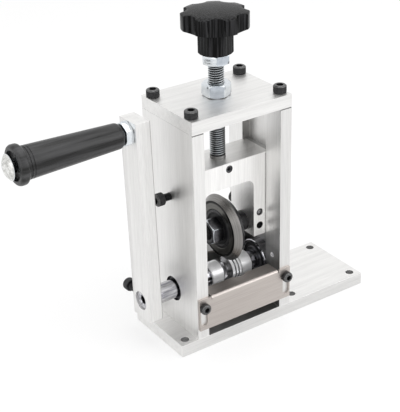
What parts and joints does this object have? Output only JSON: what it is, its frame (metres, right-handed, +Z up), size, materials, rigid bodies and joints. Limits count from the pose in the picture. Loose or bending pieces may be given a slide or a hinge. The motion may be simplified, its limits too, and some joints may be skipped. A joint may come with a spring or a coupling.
{
  "type": "hand crank wire stripper",
  "caption": "Hand crank wire stripper: a round blade on a screw-adjusted slide above a grooved feed roller, in an aluminium tower on a flat base.",
  "frame": {"origin": "centre of the base plate's underside", "axes": "+Z up from the base to the knob; +X along the base, away from the crank; +Y from the front, where the cable goes in, to the back"},
  "size_m": [0.291, 0.0774, 0.2543],
  "materials": {
    "brushed_aluminium": "brushed",
    "zinc_plated": "bright zinc plate",
    "polished_steel": "polished",
    "black_oxide": "black oxide, satin",
    "nickel_sheet": "satin nickel plate",
    "grip_rubber": "satin",
    "knob_plastic": "matte",
    "seal_rubber": "matte",
    "ground_steel": "ground bevels, dark faces"
  },
  "bodies": {
    "frame": {"base_plate": "brushed_aluminium", "left_side_plate": "brushed_aluminium", "right_side_plate": "brushed_aluminium", "top_plate": "brushed_aluminium", "top_plate_screws": "black_oxide", "base_screws": "black_oxide", "front_guide_screws": "black_oxide", "rear_guide_screws": "black_oxide", "left_bearing_outer": "polished_steel", "left_bearing_balls": "polished_steel", "left_bearing_seals": "seal_rubber", "right_bearing_outer": "polished_steel", "right_bearing_balls": "polished_steel", "right_bearing_seals": "seal_rubber"},
    "crank": {"drive_shaft": "polished_steel", "crank_arm": "brushed_aluminium", "arm_clamp_screw": "black_oxide", "handle_bolt": "zinc_plated", "handle_jam_nut": "zinc_plated", "left_bearing_inner": "polished_steel", "right_bearing_inner": "polished_steel"},
    "grip": {"handle_grip": "grip_rubber"},
    "slide": {"slide_block": "brushed_aluminium", "block_retainer_screw": "zinc_plated", "leg_screws": "black_oxide", "axle_set_screw": "black_oxide", "blade_axle": "black_oxide", "axle_nut": "zinc_plated", "axle_spacer": "black_oxide", "blade_bearing_inner": "polished_steel", "blade_bearing_balls": "polished_steel"},
    "blade": {"blade_disc": "ground_steel", "blade_bearing_outer": "polished_steel", "blade_bearing_seals": "seal_rubber"},
    "screw": {"adjusting_screw": "zinc_plated", "knob_nut": "zinc_plated", "knob_insert": "zinc_plated", "star_knob": "knob_plastic"},
    "lock_nut": {"lock_nut": "zinc_plated"},
    "lock_screw": {"block_lock_screw": "black_oxide"},
    "front_guide": {"front_guide_plate": "nickel_sheet"},
    "rear_guide": {"rear_guide_plate": "nickel_sheet"}
  },
  "joints": [
    {"name": "crank_turn", "type": "hinge", "parent": "frame", "child": "crank", "pos_m": [-0.0987, 0, 0.04], "axis": [1, 0, 0], "continuous": true},
    {"name": "grip_spin", "type": "hinge", "parent": "crank", "child": "grip", "pos_m": [-0.1525, 0.00361, 0.17795], "axis": [1, 0, 0], "continuous": true},
    {"name": "block_slide", "type": "slide", "parent": "frame", "child": "slide", "axis": [0, 0, 1], "range_m": [-0.003, 0.035]},
    {"name": "screw_turn", "type": "hinge", "parent": "slide", "child": "screw", "pos_m": [-0.031, 0, 0.2], "axis": [0, 0, 1], "range_deg": [-625, 7210]},
    {"name": "blade_spin", "type": "hinge", "parent": "slide", "child": "blade", "pos_m": [-0.028, 0, 0.0785], "axis": [1, 0, 0], "continuous": true},
    {"name": "front_guide_slide", "type": "slide", "parent": "frame", "child": "front_guide", "axis": [0, 0, 1], "range_m": [0, 0.012]},
    {"name": "rear_guide_slide", "type": "slide", "parent": "frame", "child": "rear_guide", "axis": [0, 0, 1], "range_m": [0, 0.012]},
    {"name": "lock_nut_turn", "type": "hinge", "parent": "frame", "child": "lock_nut", "pos_m": [-0.031, 0, 0.195], "axis": [0, 0, 1], "range_deg": [0, 360]},
    {"name": "lock_screw_out", "type": "slide", "parent": "frame", "child": "lock_screw", "axis": [-1, 0, 0], "range_m": [0, 0.004]}
  ],
  "couplings": [
    {"joint": "screw_turn", "follows": "block_slide", "rad_per_m": 3590.4}
  ]
}
